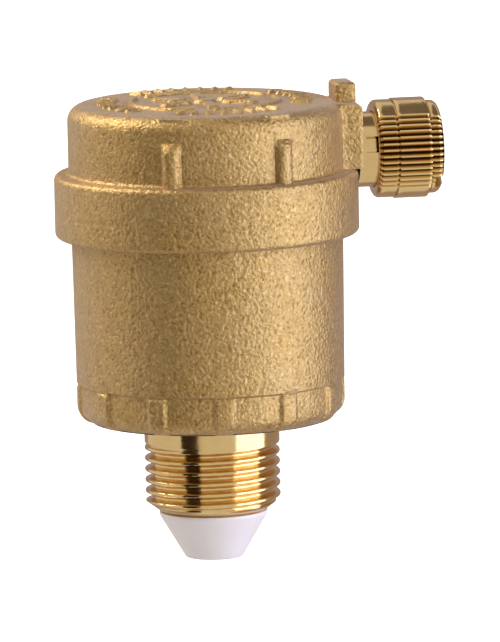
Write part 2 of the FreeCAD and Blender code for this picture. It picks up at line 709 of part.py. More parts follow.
def bracket():
    """Channel bracket: a plate under the cover and two ears that hold the pin."""
    body = new_body("lever_bracket")
    side = outline(body, "side_outline", "XZ_Plane", [
        ("plate_start", "plate_top"),
        ("plate_start", "plate_low"),
        ("plate_end - gusset", "plate_low"),
        ("pivot_x - ear_half_length", "pivot_z + ear_half_length"),
        ("pivot_x - ear_half_length", "pivot_z - ear_below_pivot"),
        ("pivot_x + ear_half_length", "pivot_z - ear_below_pivot"),
        ("pivot_x + ear_half_length", "pivot_z + ear_half_length"),
        ("plate_end", "plate_top"),
    ])
    raised(body, "channel", side, "2 * bracket_half_width")
    space = outline(body, "space_outline", "XZ_Plane", [
        (f"plate_start - {OVERRUN}", "plate_low"),
        (f"plate_start - {OVERRUN}", f"pivot_z - ear_below_pivot - {OVERRUN}"),
        (f"pivot_x + ear_half_length + {OVERRUN}", f"pivot_z - ear_below_pivot - {OVERRUN}"),
        (f"pivot_x + ear_half_length + {OVERRUN}", "plate_low"),
    ])
    cut(body, "lever_space", space, "2 * bracket_half_gap", both_ways=True)
    for index in range(2):
        across = f"screw_first_x + {index} * screw_spacing"
        hole = circle(body, f"screw_circle_{index}", "XY_Plane", across, "0",
                      "screw_radius", f"plate_low - {OVERRUN}")
        cut(body, f"screw_hole_{index}", hole, f"bracket_sheet + 2 * {OVERRUN}")
    pin = circle(body, "pin_circle", "XZ_Plane", "pivot_x", "pivot_z", "pin_radius")
    cut(body, "pin_holes", pin, "3 * bracket_half_width", both_ways=True)


def bound_cylinder(name, radius, height, turn, place):
    """A cylinder bound to the sheet; turn is its rotation, place its base point."""
    item = DOC.addObject("Part::Cylinder", name)
    item.setExpression("Radius", cells(radius))
    item.setExpression("Height", cells(height))
    item.Placement.Rotation = turn
    for axis, expression in zip("xyz", place):
        item.setExpression("Placement.Base." + axis, cells(expression))
    return item


UPRIGHT = FreeCAD.Rotation()
ALONG_Y = FreeCAD.Rotation(FreeCAD.Vector(1, 0, 0), -90)


def bracket_screws():
    """Two cheese-head screws that hold the bracket."""
    screws = []
    for index in range(2):
        across = f"screw_first_x + {index} * screw_spacing"
        shank = bound_cylinder(f"screw_shank_{index}", "screw_radius", "screw_length",
                               UPRIGHT, (across, "0", "head_top"))
        head = bound_cylinder(f"screw_head_{index}", "screw_head_radius", "screw_head_height",
                              UPRIGHT, (across, "0", "head_top - screw_head_height"))
        slot = DOC.addObject("Part::Box", f"driver_slot_{index}")
        slot.setExpression("Length", cells("2 * screw_head_radius"))
        slot.setExpression("Width", cells("screw_radius / 2"))
        slot.setExpression("Height", cells("screw_head_height / 2"))
        slot.setExpression("Placement.Base.x", cells(across + " - screw_head_radius"))
        slot.setExpression("Placement.Base.y", cells("-screw_radius / 4"))
        slot.setExpression("Placement.Base.z", cells("head_top - screw_head_height"))
        solid = DOC.addObject("Part::Fuse", f"screw_solid_{index}")
        solid.Base = shank
        solid.Tool = head
        screw = DOC.addObject("Part::Cut", f"screw_{index}")
        screw.Base = solid
        screw.Tool = slot
        screws.append(screw)
    group = keep(DOC.addObject("Part::Compound", "bracket_screws"), "bracket_screws")
    group.Links = screws


def lock_washers():
    """Split lock washers between the screw heads and the bracket."""
    washers = []
    for index in range(2):
        across = f"screw_first_x + {index} * screw_spacing"
        place = (across, "0", "head_top")
        disc = bound_cylinder(f"washer_disc_{index}", "washer_radius", "washer_thickness",
                              UPRIGHT, place)
        hole = bound_cylinder(f"washer_hole_{index}", "screw_radius", "washer_thickness",
                              UPRIGHT, place)
        split = DOC.addObject("Part::Box", f"washer_split_{index}")
        split.setExpression("Length", cells("washer_split"))
        split.setExpression("Width", cells("2 * washer_radius"))
        split.setExpression("Height", cells("washer_thickness"))
        split.setExpression("Placement.Base.x", cells(across + " - washer_split / 2"))
        split.setExpression("Placement.Base.z", cells("head_top"))
        ring = DOC.addObject("Part::Cut", f"washer_ring_{index}")
        ring.Base = disc
        ring.Tool = hole
        washer = DOC.addObject("Part::Cut", f"washer_{index}")
        washer.Base = ring
        washer.Tool = split
        washers.append(washer)
    group = keep(DOC.addObject("Part::Compound", "lock_washers"), "lock_washers")
    group.Links = washers


def pivot_pin():
    """Pin across the bracket's ears."""
    half = "bracket_half_width + clip_thickness + pin_end"
    pin = bound_cylinder("pivot_pin", "pin_radius", f"2 * ({half})", ALONG_Y,
                         ("pivot_x", f"-({half})", "pivot_z"))
    keep(pin, "pivot_pin")


def pin_clips():
    """Open spring clips on both ends of the pin."""
    clips = []
    starts = ("bracket_half_width", "-bracket_half_width - clip_thickness")
    for index, start in enumerate(starts):
        disc = bound_cylinder(f"clip_disc_{index}", "clip_radius", "clip_thickness",
                              ALONG_Y, ("pivot_x", start, "pivot_z"))
        hole = bound_cylinder(f"clip_hole_{index}", "pin_radius", "clip_thickness",
                              ALONG_Y, ("pivot_x", start, "pivot_z"))
        mouth = DOC.addObject("Part::Box", f"clip_mouth_{index}")
        mouth.setExpression("Length", cells("pin_radius"))
        mouth.setExpression("Width", cells("clip_thickness"))
        mouth.setExpression("Height", cells("2 * clip_radius"))
        mouth.setExpression("Placement.Base.x", cells("pivot_x - pin_radius / 2"))
        mouth.setExpression("Placement.Base.y", cells(start))
        mouth.setExpression("Placement.Base.z", cells("pivot_z - 2 * clip_radius"))
        ring = DOC.addObject("Part::Cut", f"clip_ring_{index}")
        ring.Base = disc
        ring.Tool = hole
        clip = DOC.addObject("Part::Cut", f"clip_{index}")
        clip.Base = ring
        clip.Tool = mouth
        clips.append(clip)
    group = keep(DOC.addObject("Part::Compound", "pin_clips"), "pin_clips")
    group.Links = clips


def at_pivot(item):
    """Put a lever part at the pivot; it is drawn shut and placed open."""
    item.setExpression("Placement.Base.x", cells("pivot_x"))
    item.setExpression("Placement.Base.z", cells("pivot_z"))
    item.Placement.Rotation = FreeCAD.Rotation(FreeCAD.Vector(0, 1, 0), -1)
    item.setExpression("Placement.Rotation.Angle", cells("-closing_angle"))


def valve_lever():
    """Bell-crank lever, drawn about its pivot with the valve shut."""
    body = new_body("valve_lever")
    hub = circle(body, "hub_circle", "XZ_Plane", "0", "0", "hub_radius")
    raised(body, "hub", hub, "2 * lever_half_width")
    arm = outline(body, "arm_outline", "XZ_Plane", box_corners(
        "-pivot_x - fork_length / 2", "0", "-lever_sheet / 2", "lever_sheet / 2"))
    raised(body, "arm", arm, "2 * lever_half_width")
    riser = outline(body, "riser_outline", "XZ_Plane", box_corners(
        "holder_base - lever_sheet", "holder_base", "0", "pivot_below_vent + riser_above_rivet"))
    raised(body, "riser", riser, "2 * lever_half_width")
    bore = circle(body, "bore_circle", "XZ_Plane", "0", "0", "pin_radius + pin_gap")
    cut(body, "pin_bore", bore, "4 * lever_half_width", both_ways=True)
    fork = outline(body, "fork_outline", "XY_Plane", box_corners(
        "-pivot_x - fork_length", "fork_length / 2 - pivot_x",
        "-link_wire - link_gap", "link_wire + link_gap"), offset="-lever_sheet")
    cut(body, "fork", fork, "2 * lever_sheet")
    rivet = circle(body, "rivet_circle", "YZ_Plane", "0", "pivot_below_vent",
                   "rivet_radius", "holder_base - 2 * lever_sheet")
    cut(body, "rivet_hole", rivet, "3 * lever_sheet")
    at_pivot(body)


def pad_parts():
    """Pad holder riveted to the lever, and the soft pad in it."""
    holder = new_body("pad_holder")
    turned(holder, "holder", [
        ("holder_base - lever_sheet - holder_rim", "0"),
        ("holder_base - lever_sheet - holder_rim", "rivet_radius + holder_rim"),
        ("holder_base - lever_sheet", "rivet_radius + holder_rim"),
        ("holder_base - lever_sheet", "rivet_radius"),
        ("holder_base", "rivet_radius"),
        ("holder_base", "pad_radius + holder_rim"),
        ("pad_face - pad_thickness / 2", "pad_radius + holder_rim"),
        ("pad_face - pad_thickness / 2", "pad_radius"),
        ("holder_base + holder_rim", "pad_radius"),
        ("holder_base + holder_rim", "0"),
    ], axis="X_Axis")
    pad = new_body("valve_pad")
    turned(pad, "pad", [
        ("holder_base + holder_rim", "0"),
        ("holder_base + holder_rim", "pad_radius"),
        ("pad_face", "pad_radius"),
        ("pad_face", "0"),
    ], axis="X_Axis")
    for body in (holder, pad):
        centre_on_riser(body)


def centre_on_riser(body):
    """Place a part drawn about the pad's axis on the open lever."""
    body.Placement.Rotation = FreeCAD.Rotation(FreeCAD.Vector(0, 1, 0), -1)
    body.setExpression("Placement.Rotation.Angle", cells("-closing_angle"))
    body.setExpression("Placement.Base.x", cells("pivot_x - pivot_below_vent * sin(closing_angle)"))
    body.setExpression("Placement.Base.z", cells("pivot_z + pivot_below_vent * cos(closing_angle)"))


def lever_spring():
    """Torsion spring round the pin: one leg along the lever's arm, one up its bracket."""
    wire = value("spring_wire")
    leg = value("spring_leg")
    pitch = value("spring_pitch")
    coil = Part.makeHelix(pitch, pitch * value("spring_turns"), value("spring_radius"))
    first = coil.Edges[0]
    last = coil.Edges[-1]
    start = first.valueAt(first.FirstParameter)
    end = last.valueAt(last.LastParameter)
    start_way = first.tangentAt(first.FirstParameter)
    end_way = last.tangentAt(last.LastParameter)
    arm_leg = Part.makeLine(start - start_way * leg, start)
    bracket_leg = Part.makeLine(end, end + end_way * leg)
    path = Part.Wire([arm_leg] + coil.Edges + [bracket_leg])
    section = Part.Wire(Part.makeCircle(wire, start - start_way * leg, start_way))
    item = keep(DOC.addObject("Part::Feature", "lever_spring"), "lever_spring")
    item.Shape = path.makePipeShell([section], True, True)
    along_arm = FreeCAD.Rotation(FreeCAD.Vector(0, 0, 1), -90)
    on_pin = FreeCAD.Rotation(FreeCAD.Vector(1, 0, 0), -90)
    side = value("lever_half_width + spring_side_gap + spring_wire")
    place = FreeCAD.Vector(value("pivot_x"), side, value("pivot_z"))
    item.Placement = FreeCAD.Placement(place, on_pin * along_arm)


def check_and_export():
    """Stop on any failed object; then write one file for each sub-part."""
    DOC.recompute()
    for item in DOC.Objects:
        if {"Invalid", "Error"} & set(item.State):
            raise RuntimeError(f"{item.Name} failed: {item.State}")
    for item in PARTS:
        if item.Shape.isNull() or not item.Shape.isValid():
            raise RuntimeError(f"{item.Label} has no valid shape")
    os.makedirs("parts", exist_ok=True)
    for item in PARTS:
        item.Shape.exportStep(f"parts/{item.Label}.step")
        solids = len(item.Shape.Solids)
        print(f"{item.Label}: {solids} solid(s), {item.Shape.Volume:.1f} mm3")


fill_sheet()
lower_body()
cover()
cover_seal()
inlet_cone()
valve_seat()
seat_seal()
vent_cap()
cap_gasket()
float_parts()
bracket()
bracket_screws()
lock_washers()
pivot_pin()
pin_clips()
valve_lever()
pad_parts()
lever_spring()
check_and_export()
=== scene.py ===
"""Visual model of an automatic air vent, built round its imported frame."""
import math

import bmesh
import bpy
from bpy.props import FloatProperty, FloatVectorProperty, IntProperty, PointerProperty
from mathutils import Matrix, Vector


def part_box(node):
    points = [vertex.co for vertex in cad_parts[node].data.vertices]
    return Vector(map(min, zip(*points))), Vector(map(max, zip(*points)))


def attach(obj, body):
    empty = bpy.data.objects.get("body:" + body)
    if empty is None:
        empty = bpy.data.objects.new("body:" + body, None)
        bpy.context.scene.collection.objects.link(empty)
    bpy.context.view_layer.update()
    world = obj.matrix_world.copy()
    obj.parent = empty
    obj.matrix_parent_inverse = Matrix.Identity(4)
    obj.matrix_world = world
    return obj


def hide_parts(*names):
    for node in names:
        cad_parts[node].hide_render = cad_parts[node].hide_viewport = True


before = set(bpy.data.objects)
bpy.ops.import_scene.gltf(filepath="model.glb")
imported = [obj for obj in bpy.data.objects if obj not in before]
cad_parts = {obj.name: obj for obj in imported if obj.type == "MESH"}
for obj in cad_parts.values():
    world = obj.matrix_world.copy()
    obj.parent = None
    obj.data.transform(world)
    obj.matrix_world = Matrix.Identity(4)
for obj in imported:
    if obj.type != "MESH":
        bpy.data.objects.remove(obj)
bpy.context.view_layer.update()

bl_info = {
    "name": "Automatic Air Vent",
    "version": (1, 0, 0),
    "blender": (4, 5, 0),
    "location": "View3D > Sidebar > Air Vent",
    "description": "Builds a brass float-operated air vent: castings, thread, screw cap and stage",
    "category": "Add Mesh",
}

BODY_LOW, BODY_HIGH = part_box("lower_body")
COVER_LOW, COVER_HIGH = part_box("cover")
CAP_LOW, CAP_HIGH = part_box("vent_cap")
CONE_LOW, CONE_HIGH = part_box("inlet_cone")

MM = 0.001
SHARP_ANGLE = math.radians(32)
# Angle from one groove of the cap's knurl to the next.
KNURL_PITCH = math.radians(7.5)
# Half of a knurled row, in grooves, and the radius of the cap's plain closed end.
KNURL_HALF_ROW = 6.5
CAP_FACE_RADIUS = 4.95 * MM
# Height of the outlet's axis.
VENT_HEIGHT = (CAP_LOW.z + CAP_HIGH.z) / 2
# Sockets of a mix node that mixes colours.
MIX_COLOUR_INPUTS = (0, 6, 7)
MIX_COLOUR_OUTPUT = 2
# How far from its middle a rib still shapes the wall, in half widths.
RIB_REACH = 1.35
# Points closer than this lie on the same line, face or axis.
NEAR = 0.01 * MM
# Directions of the cap's coin slot and of the spigot's air groove.
COIN_SLOT_ANGLE = math.radians(-44.0)
AIR_GROOVE_ANGLE = math.radians(-103.5)


# ---------------------------------------------------------------- settings

def length(name, description, default):
    """A size in metres that can be changed in the panel."""
    return FloatProperty(name=name, description=description, default=default, unit="LENGTH",
                         precision=5)


def colour(name, description, default):
    """A linear colour that can be changed in the panel."""
    return FloatVectorProperty(name=name, description=description, default=default, size=3,
                               subtype="COLOR", min=0.0, max=1.0)


class VentSizes(bpy.types.PropertyGroup):
    """Sizes of the castings and the turned parts."""
    vessel_low: length("Vessel radius, low", "Vessel wall just above the pads", 16.5 * MM)
    vessel_high: length("Vessel radius, high", "Vessel wall under the collar", BODY_HIGH.x)
    vessel_bore: length("Vessel bore", "Radius inside the vessel", 14.5 * MM)
    vessel_floor: length("Vessel floor", "Thickness of the vessel's floor", 2.0 * MM)
    rim_radius: length("Rim radius", "Vessel's threaded rim inside the collar", 16.3 * MM)
    band_height: length("Pad band height", "Height of the band with pads at the foot", 5.0 * MM)
    band_depth: length("Pad band depth", "How far the band is set back between pads", 0.4 * MM)
    pad_width: length("Pad width", "Width of one pad", 2.3 * MM)
    pad_count: IntProperty(name="Pads", description="Pads round the foot", default=12, min=3)
    pad_start: FloatProperty(name="First pad", description="Direction of the first pad",
                             default=math.radians(26.0), subtype="ANGLE")
    foot_rounding: length("Foot rounding", "Rounding of the vessel's lower edge", 2.2 * MM)
    thread_radius: length("Thread radius", "Crest radius of the connection thread", 8.331 * MM)
    thread_pitch: length("Thread pitch", "Pitch of the connection thread", 1.337 * MM)
    thread_depth: length("Thread depth", "Depth of the connection thread", 0.856 * MM)
    neck_length: length("Neck length", "Plain neck above the thread", 2.5 * MM)
    neck_bore: length("Neck bore", "Radius of the passage through the neck", 5.6 * MM)
    collar_radius: length("Collar radius", "Outside of the collar", -COVER_LOW.x)
    collar_top: length("Collar top", "Height of the collar's upper face", 30.75 * MM)
    collar_rounding: length("Collar rounding", "Rounding of the collar's edges", 0.7 * MM)
    ledge: length("Ledge", "Height of the seal ledge in the collar", 27.9 * MM)
    cover_radius: length("Cover radius", "Outside of the cover's wall", 16.9 * MM)
    cover_top: length("Cover top", "Height of the cover's top face", 39.2 * MM)
    cover_ceiling: length("Cover ceiling", "Height of the cover's inner face", 37.2 * MM)
    top_rounding: length("Top rounding", "Rounding of the cover's top edge", 1.9 * MM)
    rib_angle: FloatProperty(name="Rib angle", description="Ribs' angle from the side",
                             default=math.radians(24.25), subtype="ANGLE")
    rib_width: length("Rib width", "Width of one grip rib", 2.4 * MM)
    rib_proud: length("Rib height", "How far a rib stands out of the wall", 0.95 * MM)
    rib_top: length("Rib top", "Height where the ribs end", 36.35 * MM)
    boss_face: length("Boss face", "Outer face of the outlet boss", 18.8 * MM)
    boss_width: length("Boss width", "Width of the outlet boss", 9.8 * MM)
    boss_top: length("Boss top", "Height of the outlet boss", 38.7 * MM)
    lug_inner: length("Lug start", "Inner face of the lug", 15.85 * MM)
    lug_outer: length("Lug end", "Outer face of the lug", 18.5 * MM)
    lug_width: length("Lug width", "Lug across the outlet", 5.0 * MM)
    relief_height: length("Relief height", "Height of the marks on the cover", 0.42 * MM)
    spigot_radius: length("Spigot radius", "Outside of the cap's thread", 4.65 * MM)
    outlet_bore: length("Outlet bore", "Radius of the outlet passage", 2.2 * MM)
    cap_bore: length("Cap bore", "Radius inside the cap", 4.73 * MM)
    cap_depth: length("Cap depth", "Depth of the cap's bore", 6.1 * MM)
    knurl_depth: length("Knurl depth", "Depth of the knurl's grooves", 0.6 * MM)
    cone_top: length("Cone top radius", "Inlet cone at the thread's end", 6.75 * MM)
    cone_end: length("Cone end radius", "Inlet cone at its mouth", 3.5 * MM)


class VentColours(bpy.types.PropertyGroup):
    """Colours of the finishes."""
    cast_brass: colour("Cast brass", "Shot-blasted brass", (0.52, 0.32, 0.105))
    cast_dark: colour("Cast brass, pits", "Brass in the pits of the blasted skin",
                      (0.30, 0.17, 0.045))
    cast_bright: colour("Cast brass, peaks", "Brass on the peaks of the blasted skin",
                        (0.70, 0.50, 0.24))
    turned_brass: colour("Turned brass", "Machined brass", (0.76, 0.54, 0.25))
    steel: colour("Stainless steel", "Lever, bracket and screws", (0.60, 0.60, 0.59))
    rubber: colour("Rubber", "Seal rings and valve pad", (0.025, 0.025, 0.027))
    cone_plastic: colour("Cone plastic", "Inlet cone", (0.98, 0.88, 0.86))
    float_plastic: colour("Float plastic", "Float shell and lid", (0.80, 0.80, 0.74))
    fibre: colour("Gasket fibre", "Gasket in the cap", (0.36, 0.09, 0.05))
    floor: colour("Floor", "Floor under the object", (0.92, 0.92, 0.92))


class VentStage(bpy.types.PropertyGroup):
    """Lights and camera."""
    surround: FloatProperty(name="Surround", description="Brightness of the white room",
                            default=0.76, min=0.0)
    soft_box: FloatProperty(name="Soft box", description="Brightness of the right-hand soft box",
                            default=2.3, min=0.0)
    top_light: FloatProperty(name="Top light", description="Brightness of the light at top left",
                             default=7.0, min=0.0)
    camera_distance: length("Camera distance", "From the camera to the object", 1.2)
    lens: FloatProperty(name="Lens", description="Focal length in millimetres", default=547.0)


# ---------------------------------------------------------------- materials

def add_node(tree, kind, inputs=None, **attributes):
    """A node with its inputs and attributes set."""
    node = tree.nodes.new(kind)
    for key, value in attributes.items():
        setattr(node, key, value)
    for key, value in (inputs or {}).items():
        node.inputs[key].default_value = value
    return node


def ramp(tree, factor, stops):
    """A colour ramp fed by a factor; stops are (position, value) or (position, colour)."""
    node = add_node(tree, "ShaderNodeValToRGB")
    elements = node.color_ramp.elements
    while len(elements) < len(stops):
        elements.new(0.5)
    for element, (position, value) in zip(elements, stops):
        element.position = position
        shade = (value,) * 3 if isinstance(value, float) else value
        element.color = (*shade, 1.0)
    tree.links.new(factor, node.inputs["Fac"])
    return node.outputs["Color"]


def noise(tree, point, scale, detail=3.0, roughness=0.6):
    """Noise whose grain is about one over the scale, in metres."""
    node = add_node(tree, "ShaderNodeTexNoise",
                    {"Scale": scale, "Detail": detail, "Roughness": roughness})
    tree.links.new(point, node.inputs["Vector"])
    return node.outputs["Fac"]


def feed(tree, socket, value):
    """Links a socket, or sets its constant."""
    if isinstance(value, bpy.types.NodeSocket):
        tree.links.new(value, socket)
    else:
        socket.default_value = value


def blend_colours(tree, factor, first, second):
    """Two colours mixed by a factor; a colour is a socket or a value."""
    node = add_node(tree, "ShaderNodeMix", data_type="RGBA")
    for index, value in zip(MIX_COLOUR_INPUTS, (factor, first, second)):
        feed(tree, node.inputs[index], value)
    return node.outputs[MIX_COLOUR_OUTPUT]


def calculate(tree, operation, *values):
    """A math node; a value is a socket or a number."""
    node = add_node(tree, "ShaderNodeMath", operation=operation)
    for socket, value in zip(node.inputs, values):
        feed(tree, socket, value)
    return node.outputs["Value"]


def shade(colour_value, *factors):
    """A colour with alpha, each channel times its factor."""
    factors = factors or (1.0, 1.0, 1.0)
    return (*(channel * factor for channel, factor in zip(colour_value, factors)), 1.0)


def new_finish(name, **constants):
    """A material with one Principled shader; returns it, its tree, shader and object point."""
    material = bpy.data.materials.new(name)
    material.use_nodes = True
    tree = material.node_tree
    tree.nodes.clear()
    shader = add_node(tree, "ShaderNodeBsdfPrincipled", constants)
    output = add_node(tree, "ShaderNodeOutputMaterial")
    tree.links.new(shader.outputs["BSDF"], output.inputs["Surface"])
    point = add_node(tree, "ShaderNodeTexCoord").outputs["Object"]
    return material, tree, shader, point


def bump(tree, shader, height, distance, strength=1.0, before=None):
    """Bump from a height, after an earlier bump if there is one."""
    node = add_node(tree, "ShaderNodeBump", {"Distance": distance, "Strength": strength})
    tree.links.new(height, node.inputs["Height"])
    if before:
        tree.links.new(before, node.inputs["Normal"])
    tree.links.new(node.outputs["Normal"], shader.inputs["Normal"])
    return node.outputs["Normal"]


def cast_brass_finish(colours):
    """Shot-blasted brass: fine bright and dark grit over soft waves and stains."""
    material, tree, shader, point = new_finish(
        "cast_brass_blasted", Metallic=1.0,
        **{"Coat Weight": 0.12, "Coat Roughness": 0.35, "Sheen Weight": 0.35,
           "Sheen Roughness": 0.45, "Sheen Tint": (1.0, 0.90, 0.80, 1.0)})
    grit = noise(tree, point, 2500.0, 2.0, 0.5)
    fine = noise(tree, point, 3600.0, 2.0, 0.5)
    stain = noise(tree, point, 130.0, 3.0, 0.55)
    mottle = noise(tree, point, 620.0, 2.0, 0.5)
    base = ramp(tree, grit, [
        (0.32, colours.cast_dark), (0.44, colours.cast_brass), (0.58, colours.cast_brass),
        (0.72, colours.cast_bright)])
    stained = blend_colours(tree, ramp(tree, stain, [(0.35, 0.0), (0.7, 0.42)]), base,
                            (0.50, 0.33, 0.15, 1.0))
    spotted = blend_colours(tree, ramp(tree, mottle, [(0.38, 0.22), (0.50, 0.0)]), stained,
                            (0.30, 0.17, 0.05, 1.0))
    tree.links.new(spotted, shader.inputs["Base Color"])
    tree.links.new(ramp(tree, fine, [(0.3, 0.56), (0.7, 0.40)]), shader.inputs["Roughness"])
    pits = add_node(tree, "ShaderNodeTexVoronoi", {"Scale": 2100.0, "Randomness": 1.0},
                    feature="SMOOTH_F1")
    tree.links.new(point, pits.inputs["Vector"])
    first = bump(tree, shader, mottle, 0.12 * MM, 0.5)
    second = bump(tree, shader, pits.outputs["Distance"], 0.08 * MM, 0.9, first)
    bump(tree, shader, grit, 0.16 * MM, 1.0, second)
    return material


def turned_brass_finish(colours):
    """Bright turned brass with faint tool lines and a little haze."""
    material, tree, shader, point = new_finish("turned_brass", Metallic=1.0)
    haze = noise(tree, point, 420.0, 3.0, 0.6)
    scratches = noise(tree, point, 2600.0, 2.0, 0.5)
    tree.links.new(blend_colours(tree, ramp(tree, haze, [(0.35, 0.0), (0.75, 0.5)]),
                                 shade(colours.turned_brass),
                                 shade(colours.turned_brass, 0.86, 0.78, 0.62)),
                   shader.inputs["Base Color"])
    tree.links.new(ramp(tree, haze, [(0.3, 0.10), (0.8, 0.20)]), shader.inputs["Roughness"])
    bump(tree, shader, scratches, 0.012 * MM, 0.5)
    return material


def groove_shade_mask(tree, point):
    """Where painted shade goes: 1 at the bottom of the cap's knurl grooves, 0 on their crests and
    elsewhere.
    """
    split = add_node(tree, "ShaderNodeSeparateXYZ")
    tree.links.new(point, split.inputs["Vector"])
    across = calculate(tree, "ABSOLUTE", split.outputs["Y"])
    up = calculate(tree, "SUBTRACT", split.outputs["Z"], VENT_HEIGHT)
    off = calculate(tree, "ARCTAN2", up, across)
    phase = calculate(tree, "MULTIPLY", off, 2 * math.pi / KNURL_PITCH)
    groove = calculate(tree, "MULTIPLY_ADD", calculate(tree, "COSINE", phase), 0.5, 0.5)
    knurled = calculate(tree, "LESS_THAN", calculate(tree, "ABSOLUTE", off),
                        KNURL_HALF_ROW * KNURL_PITCH)
    squares = calculate(tree, "ADD", calculate(tree, "MULTIPLY", up, up),
                        calculate(tree, "MULTIPLY", across, across))
    outside = calculate(tree, "GREATER_THAN", calculate(tree, "SQRT", squares), CAP_FACE_RADIUS)
    return calculate(tree, "MULTIPLY", calculate(tree, "MULTIPLY", groove, knurled), outside)


def knurled_brass_painted_shade_finish(colours):
    """Turned brass with painted shade, near black, at the bottom of the knurl's grooves."""
    material, tree, shader, point = new_finish("knurled_brass_painted_shade", Metallic=1.0)
    mask = groove_shade_mask(tree, point)
    # Painted shade: the groove bottoms take the brass colour scaled down to near black.
    tree.links.new(blend_colours(tree, ramp(tree, mask, [(0.60, 0.0), (0.95, 1.0)]),
                                 shade(colours.turned_brass),
                                 shade(colours.turned_brass, 0.14, 0.10, 0.08)),
                   shader.inputs["Base Color"])
    haze = noise(tree, point, 420.0, 3.0, 0.6)
    tree.links.new(ramp(tree, haze, [(0.3, 0.12), (0.8, 0.24)]), shader.inputs["Roughness"])
    bump(tree, shader, noise(tree, point, 2600.0, 2.0, 0.5), 0.012 * MM, 0.5)
    return material


def steel_finish(colours):
    """Stamped stainless steel with a fine brushed grain."""
    material, tree, shader, point = new_finish("stamped_steel", Metallic=1.0)
    stretched = add_node(tree, "ShaderNodeMapping", {"Scale": (1.0, 9.0, 9.0)})
    tree.links.new(point, stretched.inputs["Vector"])
    grain = noise(tree, stretched.outputs["Vector"], 420.0, 3.0, 0.6)
    tree.links.new(blend_colours(tree, grain, shade(colours.steel),
                                 shade(colours.steel, 0.8, 0.8, 0.8)),
                   shader.inputs["Base Color"])
    tree.links.new(ramp(tree, grain, [(0.3, 0.26), (0.7, 0.42)]), shader.inputs["Roughness"])
    bump(tree, shader, grain, 0.01 * MM, 0.5)
    return material


def plain_finish(name, base, rough, grain_scale, grain_depth, **constants):
    """A moulded or pressed material with a fine grain and slight colour variation."""
    material, tree, shader, point = new_finish(name, **constants)
    grain = noise(tree, point, grain_scale, 3.0, 0.6)
    cloud = noise(tree, point, grain_scale * 0.12, 2.0, 0.5)
    tree.links.new(blend_colours(tree, cloud, shade(base), shade(base, 0.88, 0.88, 0.88)),
                   shader.inputs["Base Color"])
    tree.links.new(ramp(tree, grain, [(0.3, rough + 0.06), (0.7, rough - 0.06)]),
                   shader.inputs["Roughness"])
    bump(tree, shader, grain, grain_depth, 0.5)
    return material


def finish(name):
    """The named finish, made when it is first asked for."""
    if name in bpy.data.materials:
        return bpy.data.materials[name]
    colours = bpy.context.scene.vent_colours
    makers = {
        "cast_brass_blasted": lambda: cast_brass_finish(colours),
        "turned_brass": lambda: turned_brass_finish(colours),
        "knurled_brass_painted_shade": lambda: knurled_brass_painted_shade_finish(colours),
        "stamped_steel": lambda: steel_finish(colours),
        "seal_rubber": lambda: plain_finish(name, colours.rubber, 0.55, 900.0, 0.01 * MM),
        "cone_plastic": lambda: plain_finish(name, colours.cone_plastic, 0.46, 700.0, 0.008 * MM,
                                             **{"Subsurface Weight": 0.15,
                                                "Subsurface Scale": 0.6 * MM}),
        "float_plastic": lambda: plain_finish(name, colours.float_plastic, 0.42, 700.0,
                                              0.008 * MM),
        "gasket_fibre": lambda: plain_finish(name, colours.fibre, 0.75, 1800.0, 0.02 * MM),
    }
    return makers[name]()


# ---------------------------------------------------------------- modelling

def outline(points):
    """A closed wire in the XZ plane through (radius, height[, rounding, segments]) corners."""
    bm = bmesh.new()
    corners = [bm.verts.new((point[0], 0.0, point[1])) for point in points]
    for first, second in zip(corners, corners[1:]):
        bm.edges.new((first, second))
    bm.edges.new((corners[-1], corners[0]))
    for corner, point in zip(corners, points):
        if len(point) > 2:
            bmesh.ops.bevel(bm, geom=[corner], offset=point[2], offset_type="OFFSET",
                            affect="VERTICES", segments=point[3], profile=0.5, material=-1)
    return bm


def open_at_axis(bm):
    """Takes the outline's edge on the axis away, so that its ends close to points."""
    axis_edges = [e for e in bm.edges if max(v.co.x for v in e.verts) < 0.001 * MM]
    bmesh.ops.delete(bm, geom=axis_edges, context="EDGES")


def set_radius(vert, radius, wanted):
    """Moves a point from one radius about Z to another."""
    vert.co.x *= wanted / radius
    vert.co.y *= wanted / radius


def subdivide_outline(bm, spacing):
    """Cuts each edge to the spacing that holds at its middle."""
    for edge in list(bm.edges):
        middle = (edge.verts[0].co + edge.verts[1].co) / 2
        cuts = math.ceil(edge.calc_length() / spacing(middle.x, middle.z)) - 1
        if cuts > 0:
            bmesh.ops.subdivide_edges(bm, edges=[edge], cuts=cuts)


def turn_outline(bm, sectors):
    """Turns the outline about Z; sectors are (angle, steps, repeats), from where it stands."""
    turned = 0.0
    round_bm = bmesh.new()
    for angle, steps, repeats in sectors:
        sector = bm.copy()
        bmesh.ops.rotate(sector, verts=sector.verts[:], matrix=Matrix.Rotation(turned, 3, "Z"))
        bmesh.ops.spin(sector, geom=sector.verts[:] + sector.edges[:], cent=(0, 0, 0),
                       axis=(0, 0, 1), angle=angle, steps=steps)
        mesh = bpy.data.meshes.new("sector")
        sector.to_mesh(mesh)
        sector.free()
        for _ in range(repeats):
            round_bm.from_mesh(mesh)
            mesh.transform(Matrix.Rotation(angle, 4, "Z"))
            turned += angle
        bpy.data.meshes.remove(mesh)
    bm.free()
    bmesh.ops.remove_doubles(round_bm, verts=round_bm.verts[:], dist=0.0005 * MM)
    bmesh.ops.recalc_face_normals(round_bm, faces=round_bm.faces[:])
    return round_bm


def smooth_step(low, high, value):
    """0 below low, 1 above high, smooth between."""
    t = min(max((value - low) / (high - low), 0.0), 1.0)
    return t * t * (3 - 2 * t)


def soft_max(first, second, blend):
    """The larger of two values, rounded where they meet."""
    h = max(blend - abs(first - second), 0.0) / blend
    return max(first, second) + h * h * blend / 4


